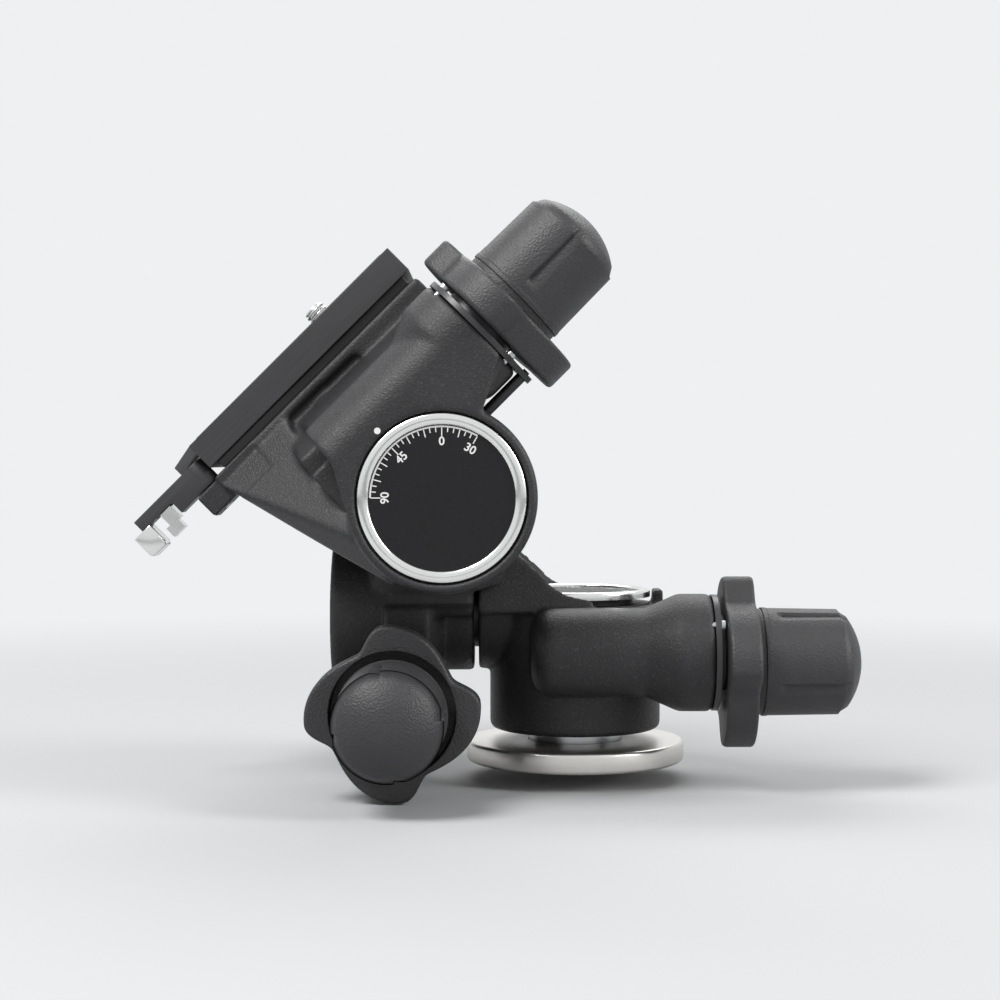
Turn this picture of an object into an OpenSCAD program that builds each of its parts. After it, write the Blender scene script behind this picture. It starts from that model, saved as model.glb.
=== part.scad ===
// Three-axis geared tripod head.
// Frame: +Z is up, +X is to the right and -Y is towards the person who reads the front dial.
// The origin is on the pan axis, at the underside of the base disc.
// Three identical worm drives turn the pan, the side tilt and the front tilt.
// Each drive has its own frame: +x runs along the worm towards its knob, the worm
// passes the wheel on the -y side, and z is the axis of the wheel.

/* [Base] */
// Radius of the base disc
base_r = 30; // [27:0.5:36]
// Thickness of the base disc
base_h = 5.6; // [4.6:0.1:8]
// Radius of the tripod screw socket, for a 3/8 inch thread
socket_r = 4.8; // [3.2:0.1:5.2]
// Depth of the tripod screw socket
socket_depth = 13; // [9:0.5:16]

/* [Layout] */
// Height of the pan worm above the underside of the base
pan_worm_z = 29.2; // [28.9:0.1:33]
// Height of the side tilt axis
side_z = 41; // [40:0.25:44]
// How far the front tilt axis lies to the left of the pan axis
front_left = 35; // [33:0.5:37]
// Height of the front tilt axis
front_z = 73.5; // [72.5:0.25:78]
// Angle that the camera platform is tilted to the left at rest
tilt_rest = 45; // [0:5:90]
// Reach of the arm from one drum's axis to the next joint face
arm_reach = 26.6; // [26:0.1:29]
// Gap between two housings at a joint face
joint_gap = 1.2; // [0.6:0.1:2]

/* [Gear drive] */
// Teeth on each worm wheel
wheel_teeth = 48; // [40:1:60]
// Width of each worm wheel
wheel_w = 8; // [6:0.5:9]
// Distance from the wheel's axis to the worm's axis
worm_distance = 23; // [22.8:0.1:24]
// Pitch radius of the worm
worm_pitch_r = 4.2; // [4:0.05:4.5]
// Height of a tooth above its pitch line
tooth_up = 0.7; // [0.5:0.05:0.8]
// Depth of a tooth below its pitch line
tooth_down = 0.9; // [0.85:0.05:1]
// Play between worm thread and wheel tooth, along the worm
tooth_play = 0.34; // [0.25:0.01:0.45]
// Turns of thread on the worm
worm_turns = 4; // [3:1:4]
// Radius of the worm's main journal
journal_r = 3; // [2.5:0.1:3.1]
// Offset of the eccentric sleeve's axis outwards from the worm's axis
sleeve_out = 1.6; // [1.4:0.05:1.8]
// Offset of the eccentric sleeve's axis towards the dial
sleeve_aside = 2.6; // [2.4:0.05:2.8]
// Outer radius of the eccentric sleeve
sleeve_r = 9.85; // [9.6:0.05:10]
// Angle that a collar turns to lift the worm out of mesh
release_turn = 40; // [30:1:45]

/* [Housings] */
// Outer radius of each drum
drum_r = 23.5; // [23:0.1:25]
// Bore of each drum, round its wheel
drum_bore_r = 20.3; // [20.2:0.05:21]
// Distance from the worm's plane to the joint face
drum_back = 20.4; // [19.5:0.1:22]
// Distance from the worm's plane to the dial's face
drum_front = 18.1; // [17.6:0.1:20]
// Outer radius of the worm barrel
barrel_r = 11.7; // [11.5:0.1:12.2]
// Radius of the flange at the knob's end of the barrel
flange_r = 15.5; // [15.2:0.1:17]
// Place of the flange's face along the worm
flange_x = 35; // [34:0.5:36]
// Radius of the boss that carries a shaft
boss_r = 16; // [15.5:0.1:17]
// Radius of the wheel shaft in its bush
shaft_r = 10; // [9:0.1:10.5]
// Wall of the bronze bush
bush_wall = 2; // [1.5:0.1:2.4]
// Radius of the shaft's mounting flange
seat_r = 13; // [12.6:0.1:13.5]
// Thickness of the shaft's mounting flange
seat_h = 2.6; // [2:0.1:3]

/* [Dials] */
// Outer radius of a dial's ring
dial_r = 20.8; // [20:0.1:21]
// Radial width of a dial's ring
dial_rim = 2.9; // [2:0.1:3.5]
// Thickness of a dial's plate
dial_h = 1.3; // [1:0.1:1.6]

/* [Knobs] */
// Radius of a knob cap
cap_r = 14.35; // [13.8:0.05:14.8]
// Place of a knob cap's end along the worm
cap_end = 74.9; // [72:0.5:80]
// Height of a knob cap's dome
dome_h = 6; // [4:0.25:7]
// Tip radius of a release collar
collar_r = 22.6; // [22:0.1:23.2]
// Valley radius of a release collar
collar_low_r = 17.6; // [17.4:0.1:19]
// Thickness of a release collar
collar_w = 8.3; // [7.5:0.1:9]
// Radius of the recess in a collar, round the cap
recess_r = 16.2; // [15.6:0.1:16.4]

/* [Camera platform] */
// Length of the camera plate
plate_len = 73.5; // [70:0.5:76]
// Width of the camera plate
plate_wid = 52; // [48:0.5:56]
// Thickness of the camera plate
plate_h = 7.9; // [7:0.1:10]
// Height of the platform's top above the front tilt axis
platform_n = 46.2; // [45.5:0.1:49]
// Thickness of the platform
platform_h = 6; // [5:0.25:7]
// Height of the plate's recessed foot
foot_h = 2.5; // [1.5:0.1:3]
// How far the camera plate's middle lies to the viewer's side of the pan axis
plate_y = 5; // [3:0.5:7]
// Radius of the camera screw, for a 1/4 inch thread
screw_r = 3.15; // [3:0.05:4.8]
// Length of the camera screw above the rubber pad
screw_up = 5.4; // [4.5:0.1:7]
// Place of the camera screw along the plate
screw_t = 9.5; // [0:0.5:12]
// Length of the clamp lever, from its pivot
lever_len = 23.8; // [20:0.2:27]

/* [Hidden] */
$fn = 64;

black = [0.09, 0.09, 0.095];
satin_black = [0.16, 0.16, 0.165];
silver = [0.82, 0.82, 0.8];
steel = [0.6, 0.61, 0.63];
bronze = [0.72, 0.52, 0.28];

run_gap = 0.05;       // radial clearance of a shaft that turns
fit_gap = 0.3;        // clearance between pieces that pass each other
eps = 0.01;

// Sizes that follow from the wheel and the worm
wheel_pitch_r = worm_distance - worm_pitch_r;
wheel_tip_r = wheel_pitch_r + tooth_up;
lead = 2 * PI * wheel_pitch_r / wheel_teeth;
lead_angle = atan(lead / (2 * PI * worm_pitch_r));
worm_tip_r = worm_pitch_r + tooth_up;
worm_root_r = worm_pitch_r - tooth_down + 0.05;
base_screw_r = 1.25;
base_screw_at = shaft_r - base_screw_r - 0.45;
barrel_y = -(worm_distance + sleeve_out);
barrel_z = sleeve_aside;
flank = tan(20);

// Places along the wheel's axis
cavity_back = wheel_w / 2 + 2.2;
nut_h = 4;
cover_from = sleeve_aside + sleeve_r + fit_gap;
cover_h = 1.3;
neck_r = boss_r;
dial_from = drum_front - dial_h - 0.9;
deck = cover_from + cover_h;
joint_face = drum_back + joint_gap;

// Places along the worm
barrel_end = -12.5;
bore_end = -8.3;
plate_h_x = 1.5;
spring_from = flange_x - 8;
spring_r = 11.4;
spring_wire = 1.6;
collar_x = flange_x + plate_h_x + 1.5;
floor_x = collar_x + 3.2;
cap_x = floor_x + 0.7;
bearing_x = 13;

// Joint places
side_plane = -(arm_reach + joint_gap + drum_back);
front_plane = side_plane;
half_len = plate_len / 2;
pad_h = 1.4;
pad_up = 0.4;
plate_n = platform_n + foot_h;
plate_mid_t = -1.75;
plate_left = plate_mid_t - half_len;
platform_left = plate_left - 1.2;
platform_near = -plate_y - plate_wid / 2;
lever_w = 6.8;
lever_t = plate_left - lever_w / 2 - 0.5;
lever_y = platform_near + 6;
lug_w = 10;
dove_side = 4;
dove_h = 3;
dove_slope = 1.6;
dove_len = plate_len - 16;
recess_left = plate_left + 3.3;
recess_n = platform_n - 3.6;
screw_lift = 0.1;
cam_r = 2.5;
cam_out = 0.9;
pivot_r = 1.2;
stem_w = 4.4;
pad_n = plate_n + plate_h + pad_up;

// ---------- frames ----------
module pan_frame() translate([0, 0, pan_worm_z]) children();
module side_frame() translate([side_plane, 0, side_z]) rotate([90, 0, -90]) children();
module front_frame()
    translate([-front_left, front_plane, front_z]) rotate([-90, -tilt_rest, 0]) children();
module flipped() mirror([0, 0, 1]) children();
// Along the platform is x, away from the viewer is y, up from the platform is z
module platform_frame() translate([-front_left, 0, front_z]) rotate([0, -tilt_rest, 0]) children();

// A cylinder along x
module rod(x0, x1, r) translate([x0, 0, 0]) rotate([0, 90, 0]) cylinder(r = r, h = x1 - x0);
// Children on the barrel's axis
module on_barrel() translate([0, barrel_y, barrel_z]) children();
// Children on the worm's axis
module on_worm() translate([0, -worm_distance, 0]) children();
// Turns a profile of [radius, x] points round the x axis
module turned_x(points) rotate([0, 90, 0]) rotate_extrude() polygon(points);

// ---------- gear pieces, the same in all three drives ----------

// Points of the worm wheel: each tooth is a trapezoid, with a space at the -y side
function wheel_points() = let(
    half_tooth = lead / 4 - tooth_play / 4,
    root = wheel_pitch_r - tooth_down,
    a_root = (half_tooth + tooth_down * flank) / root * 180 / PI,
    a_tip = (half_tooth - tooth_up * flank) / wheel_tip_r * 180 / PI,
    step = 360 / wheel_teeth)
    [for (i = [0:wheel_teeth - 1], p = [[root, -a_root], [wheel_tip_r, -a_tip],
        [wheel_tip_r, a_tip], [root, a_root]])
        let(a = -90 + (i + 0.5) * step + p[1]) [p[0] * cos(a), p[0] * sin(a)]];

module worm_wheel() {
    hub_r = 12;
    twist_half = wheel_w / 2 * tan(lead_angle) / wheel_pitch_r * 180 / PI;
    color(bronze) difference() {
        union() {
            translate([0, 0, -wheel_w / 2]) rotate([0, 0, -twist_half])
                linear_extrude(height = wheel_w, twist = -2 * twist_half, slices = 2)
                    polygon(wheel_points());
            translate([0, 0, -cavity_back + 0.2]) cylinder(r = hub_r, h = 2 * cavity_back - 0.4);
        }
        translate([0, 0, -cavity_back - 1]) cylinder(r = shaft_r - 2, h = 2 * cavity_back + 2);
    }
}

// One closed shell for the worm's thread: ring i holds the four corners of the ridge
module worm_thread() {
    n = 16;
    m = n * worm_turns;
    half_tip = lead / 4 - tooth_play / 4 - tooth_up * flank;
    half_root = lead / 4 - tooth_play / 4 + tooth_down * flank;
    start = -m * lead / n / 2;
    run = half_root + 0.3;
    u = [-half_root, -half_tip, half_tip, half_root];
    r = [worm_root_r, worm_tip_r, worm_tip_r, worm_root_r];
    function at(i, x, rad) = [x, rad * cos(360 * i / n), rad * sin(360 * i / n)];
    ridge = [for (i = [0:m], k = [0:3]) at(i, start + i * lead / n + u[k], r[k])];
    first = [for (j = [0:n - 1]) at(j, start - run, worm_root_r)];
    last = [for (j = [0:n - 1]) at(j, -start + run, worm_root_r)];
    s0 = 4 * (m + 1);
    e0 = s0 + n;
    function p(i, k) = 4 * i + k;
    function quad(a, b, c, d) = [[a, b, c], [a, c, d]];
    sides = [for (i = [0:m - 1], k = [0:2], f = quad(p(i, k), p(i + 1, k), p(i + 1, k + 1), p(i, k + 1))) f];
    roots = [for (i = [0:m - n - 1], f = quad(p(i, 3), p(i + 1, 3), p(i + 1 + n, 0), p(i + n, 0))) f];
    head = [for (j = [0:n - 2], f = quad(s0 + j, s0 + j + 1, p(j + 1, 0), p(j, 0))) f];
    seam = p(n - 1, 0);
    head_seam = [[seam, s0 + n - 1, s0], [seam, s0, p(0, 0)], [seam, p(0, 0), p(0, 3)], [seam, p(0, 3), p(n, 0)]];
    tail = [for (j = [1:n - 1], f = quad(p(m - n + j, 3), p(m - n + j + 1, 3), e0 + (j + 1) % n, e0 + j)) f];
    back = p(m - n + 1, 3);
    tail_seam = [[back, e0 + 1, e0], [back, e0, p(m, 3)], [back, p(m, 3), p(m, 0)], [back, p(m, 0), p(m - n, 3)]];
    ends = [[p(0, 0), p(0, 1), p(0, 2)], [p(0, 0), p(0, 2), p(0, 3)],
        [p(m, 2), p(m, 1), p(m, 0)], [p(m, 3), p(m, 2), p(m, 0)],
        [for (j = [n - 1:-1:0]) s0 + j], [for (j = [0:n - 1]) e0 + j]];
    inward = concat(sides, roots, head, head_seam, tail, tail_seam, ends);
    polyhedron(points = concat(ridge, first, last),
        faces = [for (f = inward) [for (j = [len(f) - 1:-1:0]) f[j]]]);
}

module worm_shaft() {
    half_thread = lead * worm_turns / 2;
    color(steel) on_worm() union() {
        worm_thread();
        rod(bore_end + 0.2, -half_thread, journal_r - 1.2);
        rod(half_thread, cap_x + 22, journal_r);
    }
}

// The eccentric sleeve carries the worm and is cut away where the wheel comes in.
// The cut's edge lies as far from the sleeve's axis in every position of the release.
module sleeve() {
    x_end = floor_x - 0.2;
    cut = -barrel_y - wheel_tip_r - 0.5;
    step = release_turn / 4;
    corners = [for (i = [0:3]) cut / cos(step / 2) * [cos(step * (i + 0.5)), sin(step * (i + 0.5))]];
    far_end = cut * [cos(release_turn), sin(release_turn)]
        + 20 * [-sin(release_turn), cos(release_turn)];
    color(steel) difference() {
        on_barrel() rod(bore_end + 0.1, x_end, sleeve_r);
        on_worm() rod(bore_end + 1.7, bearing_x, worm_tip_r + 0.6);
        on_worm() rod(bore_end - 1, bore_end + 2, journal_r - 1.2 + run_gap);
        on_worm() rod(bearing_x - 1, x_end + 1, journal_r + run_gap);
        on_barrel() translate([-bearing_x, 0, 0]) rotate([90, 0, 90]) linear_extrude(2 * bearing_x)
            polygon(concat([[cut, -20]], corners, [far_end, [30, 20], [30, -20]]));
    }
}

// ---------- housings ----------

module drum(front) {
    edge = 1;
    rotate_extrude() polygon([[0, -drum_back], [drum_r - edge, -drum_back], [drum_r, -drum_back + edge],
        [drum_r, front - edge], [drum_r - edge, front], [0, front]]);
}

module barrel() {
    round_r = 5.7;
    bend = [for (a = [0:15:90]) [barrel_r - round_r + round_r * sin(a),
        barrel_end + round_r - round_r * cos(a)]];
    on_barrel() turned_x(concat([[0, barrel_end]], bend, [[barrel_r, 17.5], [flange_r - 0.5, 25],
        [flange_r, 26.2], [flange_r, flange_x - 0.8], [flange_r - 0.8, flange_x], [0, flange_x]]));
}

// Everything that is bored out of a housing once it is cast
module drive_bores() {
    bush_r = shaft_r + bush_wall;
    translate([0, 0, -cavity_back]) cylinder(r = drum_bore_r, h = 60);
    translate([0, 0, -drum_back - 1]) cylinder(r = bush_r, h = drum_back);
    translate([0, 0, dial_from - 0.2]) cylinder(r = dial_r + 0.4, h = 30);
    on_barrel() rod(bore_end, flange_x + 1, sleeve_r + run_gap);
    on_barrel() rod(spring_from, flange_x + 1, 13);
    on_barrel() retainer_holes(0.8, flange_x - 5, flange_x + 1);
    stop_pin_shape(1.4, flange_x);
}

// Angles of the three small screws round the flange
module retainer_holes(r, x0, x1)
    for (a = [35, 145, 270]) rotate([a, 0, 0]) translate([0, 14.25, 0]) rod(x0, x1, r);

module stop_pin_shape(r, x_end) translate([0, -7.5, barrel_z]) rod(drum_bore_r + 0.1, x_end, r);

module bush() color(bronze) translate([0, 0, -drum_back]) difference() {
    cylinder(r = shaft_r + bush_wall, h = drum_back - cavity_back);
    translate([0, 0, -1]) cylinder(r = shaft_r + run_gap, h = drum_back);
}

module cover() color(satin_black) difference() {
    union() {
        translate([0, 0, cover_from]) cylinder(r = drum_bore_r, h = cover_h);
        translate([0, 0, cover_from]) cylinder(r = neck_r, h = dial_from - cover_from - 0.3);
    }
    cylinder(r = 5 + run_gap, h = 40);
}

// Steel plate that closes the barrel, with an ear for the stop pin
module retainer() color(satin_black) difference() {
    on_barrel() translate([flange_x, 0, 0]) rotate([90, 0, 90]) linear_extrude(plate_h_x) {
        circle(r = flange_r - 0.2);
        hull() {
            translate([-barrel_y - 7.5, 0]) circle(r = 2.4);
            translate([6, -7]) circle(r = 5);
            translate([6, 7]) circle(r = 5);
        }
    }
    on_barrel() rod(flange_x - 1, flange_x + 3, sleeve_r + 0.2);
    on_barrel() retainer_holes(0.8, flange_x - 1, flange_x + 3);
    stop_pin_shape(1.0, flange_x + 3);
}

module retainer_screws() color(silver) on_barrel() {
    retainer_holes(0.75, flange_x - 4.5, flange_x + plate_h_x);
    retainer_holes(1.25, flange_x + plate_h_x, flange_x + plate_h_x + 1);
}

module stop_pin() color(steel) {
    stop_pin_shape(1.4, flange_x);
    stop_pin_shape(0.95, flange_x + plate_h_x + 0.6);
}

// Torsion spring that holds the worm in mesh: one wire wound round the sleeve
module spring() {
    turns = 3.5;
    per = 14;
    sides = 6;
    count = round(turns * per);
    rise = (flange_x - spring_from - spring_wire - 0.6) / turns;
    function ring(i) = [for (k = [0:sides - 1])
        let(a = 360 * i / per, b = 360 * k / sides, rad = spring_r + spring_wire / 2 * cos(b))
        [spring_from + 0.3 + spring_wire / 2 + rise * i / per + spring_wire / 2 * sin(b),
            rad * cos(a), rad * sin(a)]];
    color(steel) on_barrel() polyhedron(
        points = [for (i = [0:count], q = ring(i)) q],
        faces = concat(
            [[for (k = [0:sides - 1]) k]],
            [[for (k = [sides - 1:-1:0]) count * sides + k]],
            [for (i = [0:count - 1], k = [0:sides - 1], f = [
                [i * sides + k, (i + 1) * sides + k, (i + 1) * sides + (k + 1) % sides],
                [i * sides + k, (i + 1) * sides + (k + 1) % sides, i * sides + (k + 1) % sides]]) f]));
}

// ---------- wheel shaft and dial, fixed to the body before ----------

module wheel_shaft(socket, deep) color(steel) difference() {
    rotate_extrude() polygon([[0, -joint_face - seat_h], [seat_r, -joint_face - seat_h],
        [seat_r, -joint_face], [shaft_r, -joint_face], [shaft_r, -cavity_back + 0.2],
        [shaft_r - 2, -cavity_back + 0.2], [shaft_r - 2, cavity_back - 0.2], [6, cavity_back - 0.2],
        [6, cover_from - 0.5], [5, cover_from - 0.5], [5, dial_from + dial_h / 2], [0, dial_from + dial_h / 2]]);
    translate([0, 0, -joint_face - seat_h - 1]) cylinder(r = socket, h = deep + 1);
    seat_holes(1.3, seat_h + 2);
}

module seat_holes(r, h) for (a = [45:90:315]) rotate([0, 0, a])
    translate([11.6, 0, -joint_face - h + 1]) cylinder(r = r, h = h);

// Countersunk screws through the shaft's flange into the arm, in the joint's gap
module seat_screws() color(steel) for (a = [45:90:315]) rotate([0, 0, a])
    translate([11.6, 0, -joint_face - seat_h - 3]) cylinder(r = 1.25, h = seat_h + 3);

module nut() color(steel) difference() {
    translate([0, 0, cavity_back - 0.2]) cylinder(r = 9.6, h = nut_h, $fn = 6);
    cylinder(r = 6, h = 40);
}

module dial() color(black) difference() {
    translate([0, 0, dial_from]) cylinder(r = dial_r - dial_rim, h = dial_h);
    cylinder(r = 5, h = dial_from + dial_h / 2);
}

module dial_ring() color(silver) difference() {
    crown = [for (a = [0:22.5:180]) [dial_r - dial_rim / 2 + dial_rim / 2 * cos(a),
        dial_from + dial_h + 0.1 + 0.75 * sin(a)]];
    rotate_extrude() polygon(concat([[dial_r - dial_rim, dial_from], [dial_r, dial_from]], crown));
}

// ---------- knob and release collar ----------

// Radius of the collar's outline, an angle clockwise from one of its four tips
function collar_radius(u) = u < 66
    ? collar_low_r + (collar_r - collar_low_r) * pow(0.5 + 0.5 * cos(180 * u / 66), 0.8)
    : collar_low_r + (collar_r - collar_low_r) * (0.5 - 0.5 * cos(180 * (u - 66) / 24));

module collar_outline() polygon([for (i = [0:71]) let(a = 5 * i, u = (360 - a) % 90,
    rad = collar_radius(u)) [rad * cos(a), rad * sin(a)]]);

// turn places the collar's tips, side is 1 or -1 for the dial's side
module collar(turn, side) {
    soft = 0.8;
    small = 1 - soft / collar_r;
    color(satin_black) difference() {
        on_worm() rotate([turn, 0, 0]) translate([collar_x, 0, 0]) rotate([90, 0, 90]) union() {
            translate([0, 0, soft]) linear_extrude(collar_w - 2 * soft) collar_outline();
            translate([0, 0, collar_w - soft]) linear_extrude(height = soft, scale = small) collar_outline();
            translate([0, 0, soft]) mirror([0, 0, 1]) linear_extrude(height = soft, scale = small)
                collar_outline();
        }
        on_worm() rod(floor_x, 100, recess_r);
        translate([0, barrel_y, side * barrel_z]) rod(0, 100, sleeve_r);
    }
}

module knob(turn) {
    skirt = 1.4;
    wall = 2.2;
    dome_x = cap_end - dome_h;
    dome_r = (cap_r * cap_r + dome_h * dome_h) / (2 * dome_h);
    a_edge = asin((cap_r - 1.2) / dome_r);
    crown = [for (i = [6:-1:0]) let(a = a_edge * i / 6) [dome_r * sin(a), cap_end - dome_r * (1 - cos(a))]];
    outer = concat([[journal_r, cap_x], [5.5, cap_x], [5.5, cap_x + 8], [cap_r - wall, cap_x + 10],
        [cap_r - wall, cap_x + 4], [cap_r - 0.35, cap_x + 4], [cap_r - 0.35, collar_x + collar_w + 2],
        [cap_r, collar_x + collar_w + 2], [cap_r, collar_x + collar_w + 2 + skirt],
        [cap_r - 0.15, collar_x + collar_w + 2 + skirt], [cap_r - 0.25, dome_x - 1.5],
        [cap_r - 0.6, dome_x - 0.3]], crown,
        [[0, cap_x + 22], [journal_r, cap_x + 22]]);
    color(satin_black) on_worm() rotate([turn, 0, 0]) difference() {
        turned_x(outer);
        for (a = [0:90:270]) rotate([a, 0, 0]) translate([collar_x + collar_w + 4.5, 0, 0])
            rotate([90, 0, 90]) linear_extrude(cap_end) polygon([[cap_r - 1.3, 0], [cap_r + 2, 0],
                [cap_r + 2, 4], [cap_r - 0.3, 3.6]]);
    }
}

// ---------- base ----------

module base_disc() color(silver) difference() {
    rotate_extrude() polygon([[0, 0], [base_r - 0.6, 0], [base_r, 0.6], [base_r, base_h - 0.6],
        [base_r - 0.6, base_h], [0, base_h]]);
    translate([0, 0, -1]) cylinder(r = socket_r, h = base_h + 2);
    translate([0, 0, pan_worm_z - joint_face - seat_h]) cylinder(r = seat_r, h = 10);
    for (a = [60:120:300]) rotate([0, 0, a]) translate([base_screw_at, 0, 0]) {
        translate([0, 0, -1]) cylinder(r = base_screw_r + 0.2, h = 20);
        translate([0, 0, -eps]) cylinder(r1 = base_screw_r + 1.5, r2 = base_screw_r + 0.2, h = 1.6);
    }
}

module base_screws() color(steel) for (a = [60:120:300]) rotate([0, 0, a])
    translate([base_screw_at, 0, 0]) {
        translate([0, 0, 0.1]) cylinder(r1 = base_screw_r + 1.3, r2 = base_screw_r, h = 1.5);
        translate([0, 0, 1.5]) cylinder(r = base_screw_r, h = base_h + 5);
    }

module pan_spindle() {
    foot = pan_worm_z - joint_face - seat_h;
    difference() {
        pan_frame() wheel_shaft(socket_r, socket_depth - foot);
        for (a = [60:120:300]) rotate([0, 0, a]) translate([base_screw_at, 0, -1])
            cylinder(r = base_screw_r, h = base_h + 8);
    }
}

// ---------- cast housings ----------

// Arm that carries the next wheel shaft: half a drum with a boss below it
module pan_arm() {
    arm_r = drum_r - 1;
    side = [[-arm_reach, side_z + 0.6], [-arm_reach, side_z + 30], [-14.4, side_z + 30],
        [-13.4, side_z + 17.5], [-10.6, side_z + 12.6], [-7, side_z + 8.4], [-3, side_z + 5.9],
        [4, side_z + 4.2], [4, side_z + 0.6]];
    difference() {
        union() {
            intersection() {
                translate([0, 0, side_z]) rod(-arm_reach, 10, arm_r);
                translate([0, 40, 0]) rotate([90, 0, 0]) linear_extrude(80) polygon(side);
            }
            translate([0, 0, side_z]) rod(-arm_reach, -12, boss_r);
        }
        translate([0, 0, pan_worm_z + deck]) cylinder(r = dial_r + 0.6, h = 60);
    }
}

module arm_screw_holes() seat_holes(1.25, seat_h + 4.2);

module pan_housing() color(black) difference() {
    union() {
        pan_frame() drum(deck);
        pan_frame() barrel();
        pan_arm();
        // small tab that carries the reading mark beside the dial
        translate([dial_r + 0.6, -6, pan_worm_z + deck - 4]) cube([2.6, 9, dial_from - deck + 6]);
    }
    pan_frame() drive_bores();
    // pocket for the side shaft's seat, open to the left at any reach
    translate([0, 0, side_z]) rod(-arm_reach - drum_back, -arm_reach + seat_h, seat_r);
    side_frame() arm_screw_holes();
}

// Column that carries the front wheel's shaft, standing on the side drum
module side_column() {
    difference() {
        hull() {
            translate([-front_left, -arm_reach, front_z]) rotate([-90, 0, 0]) cylinder(r = boss_r + 2, h = 16);
            translate([-front_left, -arm_reach + 16, front_z]) rotate([-90, 0, 0]) cylinder(r = boss_r - 5, h = 8);
            translate([-front_left - 20, -arm_reach + 6, side_z]) cube([34, 34, 12]);
        }
        translate([0, 0, side_z]) rod(-arm_reach - joint_gap, 30, drum_r + 0.6);
        translate([-front_left, -arm_reach - 1, front_z]) rotate([-90, 0, 0]) cylinder(r = seat_r, h = seat_h + 1);
    }
}

module side_housing() color(black) difference() {
    union() {
        side_frame() difference() {
            drum(drum_front);
            // below the axis the drum steps in, and down to the boss beside the joint face
            translate([0, -40, 0]) difference() {
                translate([0, 0, -drum_back - 1]) linear_extrude(drum_back + 4.8)
                    polygon([[-40, 0], [40, 0], [40, 43], [-40, 43]]);
                translate([0, 40, 0]) rotate_extrude() polygon([[0, -40], [boss_r + 0.4, -40],
                    [boss_r + 0.4, -12.5], [drum_bore_r + 1.7, -cavity_back - 2], [drum_bore_r + 1.7, 10], [0, 10]]);
            }
        }
        side_frame() barrel();
        side_column();
    }
    side_frame() drive_bores();
    front_frame() flipped() arm_screw_holes();
}

// Sloping floor that joins the left wall's rib to the round end of the barrel
module rib_foot() hull() {
    translate([-17.5, platform_near + 2, platform_n - 7.5]) cube([6, 3, 2.4]);
    translate([-20, front_plane + 1, 25]) cube([10, 6, 7]);
}

// Sloping wall from the drum's left side up to the platform's left corner
module left_wall() hull() {
    translate([0, platform_near + 3.5, 0]) rotate([90, 0, 0]) linear_extrude(3.5)
        polygon([[platform_left + 2.3, platform_n - 7.4], [platform_left, platform_n - 3],
            [-15.5, platform_n - 2.2], [-16.6, platform_n - 7]]);
    translate([-22, front_plane - 13.2, 8.4]) rotate([-90, 0, 0]) cylinder(r = 1.2, h = 28, $fn = 32);
    translate([-22.2, front_plane - 13.2, -5.5]) rotate([-90, 0, 0]) cylinder(r = 2, h = 28, $fn = 32);
    translate([-29.6, front_plane + 1, 16]) rotate([-90, 0, 0]) cylinder(r = 1.6, h = 14, $fn = 32);
}

// Flat face of the drum carried up to the barrel and its flange, in the drive's own frame
module front_web() {
    skin = [for (a = [0:7.5:90]) [barrel_y - barrel_r * sin(a),
        barrel_z + (drum_front - barrel_z) * cos(a)]];
    translate([0, 0, drum_front - 6]) linear_extrude(6) polygon([[-13.2, barrel_y - 0.5],
        [-13.2, barrel_y], [-21.4, -9.4], [0, 0], [23.9, -9], [flange_x - 0.3, -14.6],
        [flange_x - 0.3, barrel_y - 0.5]]);
    translate([-12.9, 0, 0]) rotate([90, 0, 90]) linear_extrude(flange_x + 12.6)
        polygon(concat(skin, [[barrel_y, barrel_z - 1], [barrel_y + 9, barrel_z - 1],
            [barrel_y + 9, drum_front - 2], [barrel_y, drum_front - 2]]));
}

// Near side of the platform, let down to the barrel's top beside the flange
module platform_skirt() translate([0, platform_near + 4, 0]) rotate([90, 0, 0]) linear_extrude(4)
    polygon([[-15, platform_n - 2.6], [9, platform_n - 3.2], [12.5, platform_n - 7.8],
        [21, platform_n - 7.9], [24, platform_n - 9], [35, platform_n - 9], [35, platform_n - 1],
        [-15, platform_n - 1]]);

// Sloping floor between the worm barrel and the platform
module top_web() hull() {
    translate([-14, platform_near + 2, platform_n - 7.5]) cube([48, 3, 2.4]);
    translate([-12, front_plane - 2, worm_distance + 6]) cube([45, 8, 6.2]);
}

module gusset(t, deep) translate([t, front_plane + 20, 0]) rotate([90, 0, 90]) linear_extrude(4)
    polygon([[-3, deep], [8, deep], [plate_wid - 4, platform_n - platform_h + 1],
        [-3, platform_n - platform_h + 1]]);

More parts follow.
